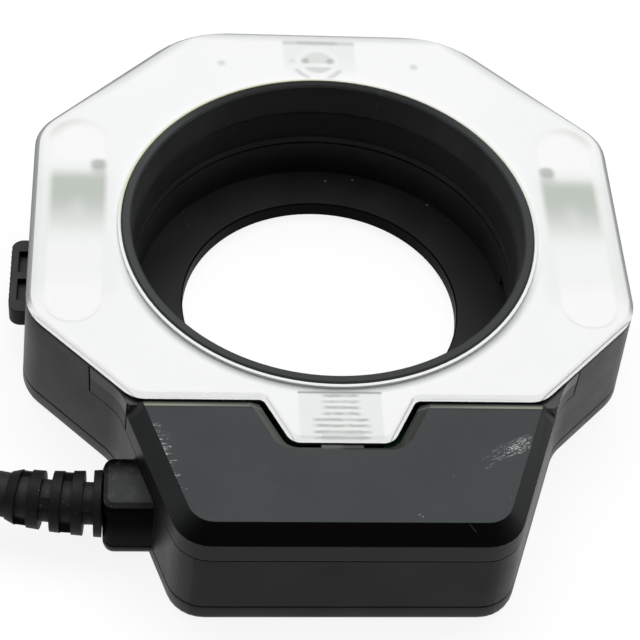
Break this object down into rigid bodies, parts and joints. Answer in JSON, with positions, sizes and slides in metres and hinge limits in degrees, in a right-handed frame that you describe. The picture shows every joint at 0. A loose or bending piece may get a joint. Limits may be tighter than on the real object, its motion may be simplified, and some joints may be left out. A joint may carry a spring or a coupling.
{
  "type": "macro ring flash head",
  "caption": "Octagonal ring flash head with a white diffuser round an open lens bore, side release buttons, a clip-in adapter ring with a lens thread, and a corded plug.",
  "frame": {"origin": "on the axis of the lens bore, in the plane of the rear face", "axes": "+Z is the way the light leaves, -Y points to the block with the name panel, +X is to the right seen from the front with that block at the bottom"},
  "size_m": [0.2197, 0.1357, 0.0297],
  "materials": {
    "body_plastic": "fine-grained satin black plastic",
    "inner_plastic": "plain dark plastic",
    "diffuser_plastic": "frosted white translucent plastic",
    "lamp_lens": "clear ribbed window",
    "black_metal": "black anodised, satin",
    "steel": "plain steel",
    "black_steel": "blackened steel",
    "reflector_metal": "bright rolled sheet",
    "tube_glass": "clear glass",
    "electrode_metal": "grey metal",
    "soft_rubber": "soft black rubber",
    "tie_plastic": "woven black tape",
    "red_wire": "red insulated wire",
    "black_wire": "black insulated wire",
    "board_green": "green circuit board",
    "chip_black": "moulded black package",
    "coil_copper": "varnished copper wire",
    "capacitor_amber": "dipped amber film",
    "socket_ivory": "ivory plastic",
    "plug_metal": "plated metal",
    "pin_metal": "gold-plated contact"
  },
  "bodies": {
    "head": {"rear_cover": "body_plastic", "middle_housing": "body_plastic", "front_cover": "body_plastic", "diffuser": "diffuser_plastic", "front_collar": "body_plastic", "stop_ring": "black_metal", "latch_spring_left": "steel", "latch_spring_right": "steel", "reflector_left": "reflector_metal", "reflector_right": "reflector_metal", "flash_tube_left": "tube_glass", "flash_tube_right": "tube_glass", "tube_electrodes": "electrode_metal", "tube_grommets": "soft_rubber", "tube_lead_left": "red_wire", "tube_lead_right": "red_wire", "return_lead_left": "black_wire", "return_lead_right": "black_wire", "far_lamp_holder": "inner_plastic", "far_lamp_cup": "reflector_metal", "far_lamp_bulb": "tube_glass", "near_lamp_cup": "reflector_metal", "near_lamp_bulb": "tube_glass", "near_lamp_lens": "lamp_lens", "main_board": "board_green", "board_chips": "chip_black", "trigger_coils": "coil_copper", "trigger_capacitors": "capacitor_amber", "wire_sockets": "socket_ivory", "board_screws": "steel", "rear_cover_screws": "black_steel", "strain_relief": "soft_rubber", "cord_inner": "soft_rubber", "cord_clamp": "inner_plastic", "clamp_screws": "steel", "cord_lead": "soft_rubber", "cord_coil": "soft_rubber", "cord_tail": "soft_rubber", "cord_tie": "tie_plastic", "plug_sleeve": "soft_rubber", "plug_body": "inner_plastic", "plug_ferrule": "plug_metal", "plug_pins": "pin_metal"},
    "left_latch": {"release_button_left": "body_plastic", "latch_slide_left": "steel"},
    "right_latch": {"release_button_right": "body_plastic", "latch_slide_right": "steel"},
    "adapter": {"adapter_ring": "black_metal"}
  },
  "joints": [
    {"name": "left_release", "type": "slide", "parent": "head", "child": "left_latch", "axis": [1, 0, 0], "range_m": [0, 0.002], "stiffness_N_per_m": 800, "springref_m": -0.002, "deforming": ["latch_spring_left"]},
    {"name": "right_release", "type": "slide", "parent": "head", "child": "right_latch", "axis": [-1, 0, 0], "range_m": [0, 0.002], "stiffness_N_per_m": 800, "springref_m": -0.002, "deforming": ["latch_spring_right"]},
    {"name": "adapter_turn", "type": "hinge", "parent": "head", "child": "adapter", "pos_m": [0, 0, 0.0072], "axis": [0, 0, 1], "continuous": true}
  ]
}
